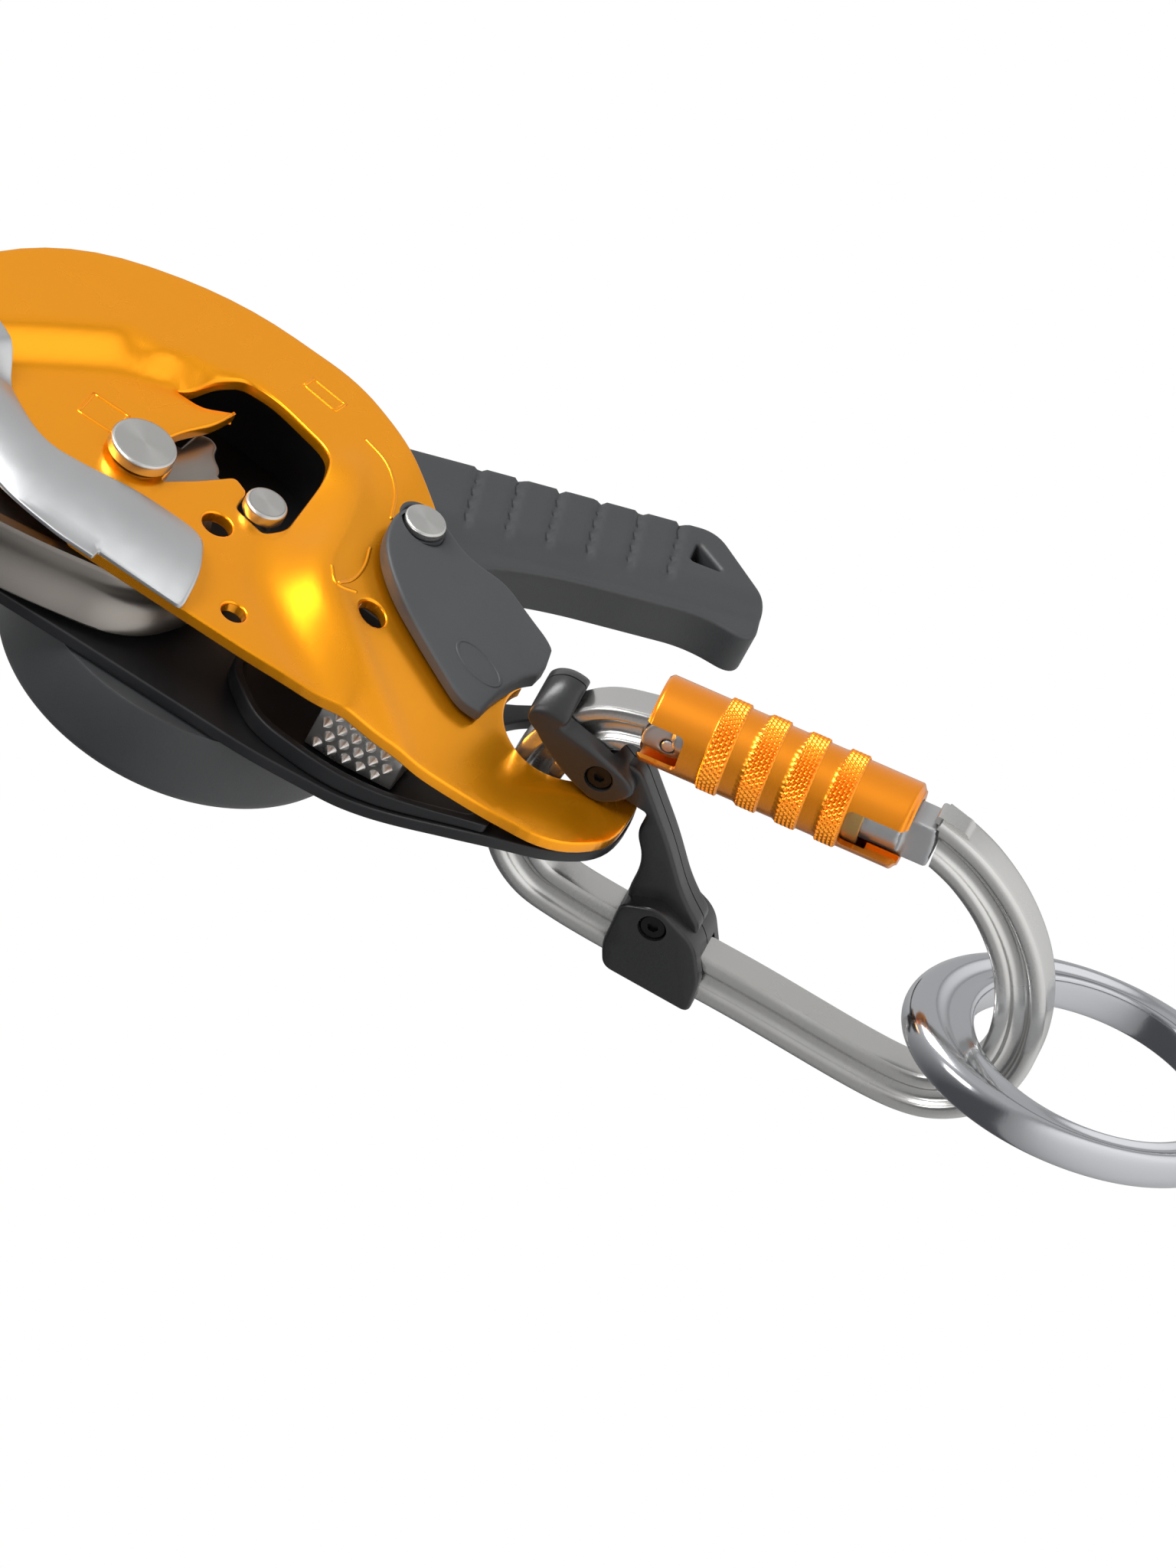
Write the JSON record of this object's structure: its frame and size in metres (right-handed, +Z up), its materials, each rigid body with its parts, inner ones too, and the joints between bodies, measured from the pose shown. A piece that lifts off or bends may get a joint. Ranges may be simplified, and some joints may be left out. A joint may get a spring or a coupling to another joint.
{
  "type": "rope grab",
  "caption": "Self-braking rope descender and grab with a swinging side plate, lever handle, thumb gate, locking connector held square by a captive bar, and an oval end ring.",
  "frame": {"origin": "on the cam axle, in the middle of the gap between the side plates, where the rope holds the device", "axes": "+Z up the loaded rope, -Y out of the front (gold) side plate, +X towards the handle"},
  "size_m": [0.1439, 0.0759, 0.3042],
  "materials": {
    "gold_plate": "orange-gold anodised, glossy",
    "black_plate": "black anodised, satin",
    "turned_studs": "face turned",
    "nickel_cam": "nickel plated",
    "satin_brake": "satin",
    "stainless": "stainless",
    "springs": "spring wire",
    "bronze": "sintered bronze",
    "gate_plastic": "fine grain, dark grey",
    "handle_plastic": "moulded, dark grey",
    "button_plastic": "moulded, orange",
    "connector_grey": "grey anodised, satin",
    "connector_gate_silver": "satin",
    "orange_sleeve": "orange anodised, knurled bands",
    "captive_black": "satin black",
    "polished_ring": "polished"
  },
  "bodies": {
    "frame": {"fixed_plate": "black_plate", "cam_axle": "turned_studs", "frame_stud": "turned_studs", "friction_wedge": "nickel_cam", "pocket_rim": "black_plate", "catch_pin": "stainless", "cam_spring": "springs", "handle_axle": "stainless", "handle_washer": "stainless", "handle_bolt": "stainless"},
    "cam_body": {"cam": "nickel_cam", "cam_bush": "bronze"},
    "catch_body": {"toothed_catch": "stainless"},
    "swing_plate": {"side_plate": "gold_plate", "auxiliary_brake": "satin_brake", "brake_rivet_1": "stainless", "brake_rivet_2": "stainless", "gate_rivet": "turned_studs", "gate_spring": "springs"},
    "gate": {"gate_cap": "gate_plastic"},
    "handle": {"handle_shell": "handle_plastic", "handle_spring": "springs", "hub_cap": "handle_plastic", "cap_screw_1": "stainless", "cap_screw_2": "stainless", "cap_screw_3": "stainless"},
    "button": {"release_button": "button_plastic"},
    "connector": {"connector_body": "connector_grey", "gate_hinge_pin": "stainless", "captive_bar_front": "captive_black", "captive_bar_rear": "captive_black", "captive_screw_1": "captive_black", "captive_screw_2": "captive_black"},
    "connector_gate_body": {"connector_gate": "connector_gate_silver"},
    "sleeve_slider": {"slide_bush": "bronze"},
    "sleeve": {"locking_sleeve": "orange_sleeve"},
    "ring": {"end_ring": "polished_ring"}
  },
  "joints": [
    {"name": "side_plate_swing", "type": "hinge", "parent": "frame", "child": "swing_plate", "pos_m": [0, 0, 0], "axis": [0, -1, 0], "range_deg": [-45, 0]},
    {"name": "gate_pivot", "type": "hinge", "parent": "swing_plate", "child": "gate", "pos_m": [0.021, -0.014, -0.052], "axis": [0, -1, 0], "range_deg": [0, 25], "stiffness_Nm_per_rad": 0.02, "springref_deg": -17.19},
    {"name": "cam_pivot", "type": "hinge", "parent": "frame", "child": "cam_body", "pos_m": [0, 0, 0], "axis": [0, -1, 0], "range_deg": [-12, 12], "stiffness_Nm_per_rad": 0.2},
    {"name": "catch_pivot", "type": "hinge", "parent": "frame", "child": "catch_body", "pos_m": [-0.009, 0, -0.072], "axis": [0, -1, 0], "range_deg": [-8, 8], "stiffness_Nm_per_rad": 0.05},
    {"name": "handle_pivot", "type": "hinge", "parent": "frame", "child": "handle", "pos_m": [0.0065, 0.02, -0.0254], "axis": [0, -1, 0], "range_deg": [-15, 100]},
    {"name": "release_button_press", "type": "slide", "parent": "handle", "child": "button", "axis": [0, -1, 0], "range_m": [0, 0.0015], "stiffness_N_per_m": 500},
    {"name": "connector_swing", "type": "hinge", "parent": "frame", "child": "connector", "pos_m": [0.004, 0, -0.0958], "axis": [0, -1, 0], "range_deg": [-15, 15]},
    {"name": "connector_gate_pivot", "type": "hinge", "parent": "connector", "child": "connector_gate_body", "pos_m": [0.00626, -0.0226, -0.11567], "axis": [0.9936, 0, 0.1132], "range_deg": [0, 15], "stiffness_Nm_per_rad": 0.05, "springref_deg": -11.46},
    {"name": "sleeve_lift", "type": "slide", "parent": "connector_gate_body", "child": "sleeve_slider", "axis": [0.1123, -0.1273, -0.9855], "range_m": [0, 0.0025], "stiffness_N_per_m": 300},
    {"name": "sleeve_twist", "type": "hinge", "parent": "sleeve_slider", "child": "sleeve", "pos_m": [0.00881, -0.02755, -0.13798], "axis": [0.1123, -0.1273, -0.9855], "range_deg": [0, 90], "stiffness_Nm_per_rad": 0.02},
    {"name": "ring_swing", "type": "hinge", "parent": "connector", "child": "ring", "pos_m": [0.01577, 0.0045, -0.19913], "axis": [0, -1, 0], "range_deg": [-30, 30]}
  ]
}
